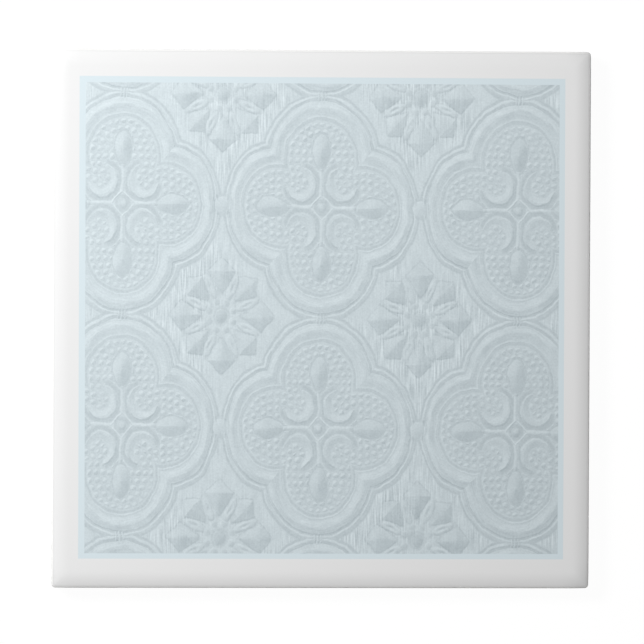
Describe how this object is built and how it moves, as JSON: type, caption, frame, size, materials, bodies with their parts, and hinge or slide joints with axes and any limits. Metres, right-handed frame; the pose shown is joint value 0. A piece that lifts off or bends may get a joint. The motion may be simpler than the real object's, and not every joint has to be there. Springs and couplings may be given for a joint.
{
  "type": "decorative tile",
  "caption": "Square glazed ceramic wall tile with a cushion edge, a flat printed ornamental panel inside a plain white border, and a keyed grid back.",
  "frame": {"origin": "centre of the back face, on the crossing of the two middle ribs, where the tile meets its adhesive bed or the surface it lies on", "axes": "+Z out of the glazed face, +Y towards the top of the printed picture, +X to its right"},
  "size_m": [0.108, 0.108, 0.0055],
  "materials": {
    "glazed_ceramic": "gloss"
  },
  "bodies": {
    "root": {"tile": "glazed_ceramic"}
  },
  "joints": []
}
